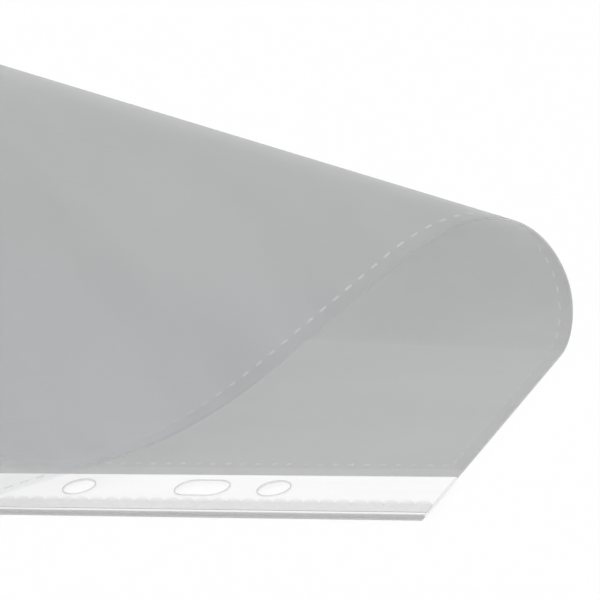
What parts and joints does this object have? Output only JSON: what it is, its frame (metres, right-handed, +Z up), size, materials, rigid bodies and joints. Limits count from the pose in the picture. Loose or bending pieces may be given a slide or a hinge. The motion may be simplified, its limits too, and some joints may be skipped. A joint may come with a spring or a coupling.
{
  "type": "sheet protector",
  "caption": "Clear film pocket for paper with a punched white binding strip, its far corner curled over; the film uncurls flat and the punched margin lifts.",
  "frame": {"origin": "middle of the row of ring holes, on the surface that the pocket lies on", "axes": "+X along the binding edge towards the closed short edge, +Y from the binding edge across the pocket, +Z up"},
  "size_m": [0.3278, 0.1724, 0.1011],
  "materials": {
    "clear_film": "smooth glossy greyish clear polypropylene film",
    "weld": "pressed film, whitened where it is welded",
    "white_strip": "opaque white reinforcing plastic"
  },
  "bodies": {
    "pocket_base": {"front_film_00": "clear_film", "back_film_00": "clear_film", "closed_edge_weld_00": "weld", "inner_weld_row": "weld"},
    "binding_margin": {"binding_strip": "white_strip", "front_film_margin": "clear_film", "back_film_margin": "clear_film", "binding_edge_weld": "weld"},
    "panel_01": {"front_film_01": "clear_film", "back_film_01": "clear_film", "closed_edge_weld_01": "weld"},
    "panel_02": {"front_film_02": "clear_film", "back_film_02": "clear_film", "closed_edge_weld_02": "weld"},
    "panel_03": {"front_film_03": "clear_film", "back_film_03": "clear_film", "closed_edge_weld_03": "weld"},
    "panel_04": {"front_film_04": "clear_film", "back_film_04": "clear_film", "closed_edge_weld_04": "weld"},
    "panel_05": {"front_film_05": "clear_film", "back_film_05": "clear_film", "closed_edge_weld_05": "weld"},
    "panel_06": {"front_film_06": "clear_film", "back_film_06": "clear_film", "closed_edge_weld_06": "weld"},
    "panel_07": {"front_film_07": "clear_film", "back_film_07": "clear_film", "closed_edge_weld_07": "weld"},
    "panel_08": {"front_film_08": "clear_film", "back_film_08": "clear_film", "closed_edge_weld_08": "weld"},
    "panel_09": {"front_film_09": "clear_film", "back_film_09": "clear_film", "closed_edge_weld_09": "weld"},
    "panel_10": {"front_film_10": "clear_film", "back_film_10": "clear_film", "closed_edge_weld_10": "weld"},
    "panel_11": {"front_film_11": "clear_film", "back_film_11": "clear_film", "closed_edge_weld_11": "weld"},
    "panel_12": {"front_film_12": "clear_film", "back_film_12": "clear_film", "closed_edge_weld_12": "weld"},
    "panel_13": {"front_film_13": "clear_film", "back_film_13": "clear_film", "closed_edge_weld_13": "weld"},
    "panel_14": {"front_film_14": "clear_film", "back_film_14": "clear_film", "closed_edge_weld_14": "weld"},
    "panel_15": {"front_film_15": "clear_film", "back_film_15": "clear_film", "closed_edge_weld_15": "weld"}
  },
  "joints": [
    {"name": "margin_lift", "type": "hinge", "parent": "pocket_base", "child": "binding_margin", "pos_m": [0, 0.0077, 0.00025], "axis": [-1, 0, 0], "range_deg": [0, 10]},
    {"name": "crease_01", "type": "hinge", "parent": "pocket_base", "child": "panel_01", "pos_m": [0.1535, 0.0586, 0.00025], "axis": [-0.9929, 0.1186, 0], "range_deg": [0, 11.99]},
    {"name": "uncurl", "type": "hinge", "parent": "panel_01", "child": "panel_02", "pos_m": [0.15349, 0.06293, 0.00116], "axis": [-0.9862, 0.165, 0.0099], "range_deg": [0, 23.95]},
    {"name": "crease_03", "type": "hinge", "parent": "panel_02", "child": "panel_03", "pos_m": [0.15337, 0.06653, 0.00373], "axis": [-0.9786, 0.2025, 0.0376], "range_deg": [0, 23.97]},
    {"name": "crease_04", "type": "hinge", "parent": "panel_03", "child": "panel_04", "pos_m": [0.15303, 0.06882, 0.0075], "axis": [-0.9713, 0.2247, 0.0775], "range_deg": [0, 23.97]},
    {"name": "crease_05", "type": "hinge", "parent": "panel_04", "child": "panel_05", "pos_m": [0.15235, 0.06946, 0.01182], "axis": [-0.9658, 0.2286, 0.1221], "range_deg": [0, 23.2]},
    {"name": "crease_06", "type": "hinge", "parent": "panel_05", "child": "panel_06", "pos_m": [0.15058, 0.06783, 0.01864], "axis": [-0.9601, 0.2061, 0.1892], "range_deg": [0, 22.42]},
    {"name": "crease_07", "type": "hinge", "parent": "panel_06", "child": "panel_07", "pos_m": [0.14809, 0.064, 0.02425], "axis": [-0.9572, 0.1618, 0.2398], "range_deg": [0, 22.42]},
    {"name": "crease_08", "type": "hinge", "parent": "panel_07", "child": "panel_08", "pos_m": [0.14487, 0.05867, 0.02794], "axis": [-0.9577, 0.1051, 0.2678], "range_deg": [0, 22.42]},
    {"name": "crease_09", "type": "hinge", "parent": "panel_08", "child": "panel_09", "pos_m": [0.14095, 0.05276, 0.02934], "axis": [-0.9613, 0.0463, 0.2716], "range_deg": [0, 22.42]},
    {"name": "crease_10", "type": "hinge", "parent": "panel_09", "child": "panel_10", "pos_m": [0.1364, 0.0472, 0.02849], "axis": [-0.9672, -0.0054, 0.2541], "range_deg": [0, 22.42]},
    {"name": "crease_11", "type": "hinge", "parent": "panel_10", "child": "panel_11", "pos_m": [0.13135, 0.04281, 0.02574], "axis": [-0.9744, -0.0432, 0.2207], "range_deg": [0, 11.22]},
    {"name": "crease_12", "type": "hinge", "parent": "panel_11", "child": "panel_12", "pos_m": [0.11249, 0.02997, 0.01328], "axis": [-0.9862, -0.1338, 0.0978], "range_deg": [-9.39, 0]},
    {"name": "crease_13", "type": "hinge", "parent": "panel_12", "child": "panel_13", "pos_m": [0.1036, 0.02271, 0.00815], "axis": [-0.9829, -0.1757, 0.0553], "range_deg": [-18.75, 0]},
    {"name": "crease_14", "type": "hinge", "parent": "panel_13", "child": "panel_14", "pos_m": [0.0951, 0.01398, 0.0051], "axis": [-0.9746, -0.2215, 0.0318], "range_deg": [-18.75, 0]},
    {"name": "crease_15", "type": "hinge", "parent": "panel_14", "child": "panel_15", "pos_m": [0.08683, 0.00454, 0.00436], "axis": [-0.9638, -0.2654, 0.0252], "range_deg": [-9.39, 0]}
  ],
  "couplings": [
    {"joint": "crease_01", "follows": "uncurl", "ratio": 0.5},
    {"joint": "crease_03", "follows": "uncurl", "ratio": 1},
    {"joint": "crease_04", "follows": "uncurl", "ratio": 1},
    {"joint": "crease_05", "follows": "uncurl", "ratio": 0.96764},
    {"joint": "crease_06", "follows": "uncurl", "ratio": 0.93528},
    {"joint": "crease_07", "follows": "uncurl", "ratio": 0.93528},
    {"joint": "crease_08", "follows": "uncurl", "ratio": 0.93528},
    {"joint": "crease_09", "follows": "uncurl", "ratio": 0.93528},
    {"joint": "crease_10", "follows": "uncurl", "ratio": 0.93528},
    {"joint": "crease_11", "follows": "uncurl", "ratio": 0.46764},
    {"joint": "crease_12", "follows": "uncurl", "ratio": -0.39109},
    {"joint": "crease_13", "follows": "uncurl", "ratio": -0.78219},
    {"joint": "crease_14", "follows": "uncurl", "ratio": -0.78219},
    {"joint": "crease_15", "follows": "uncurl", "ratio": -0.39109}
  ]
}
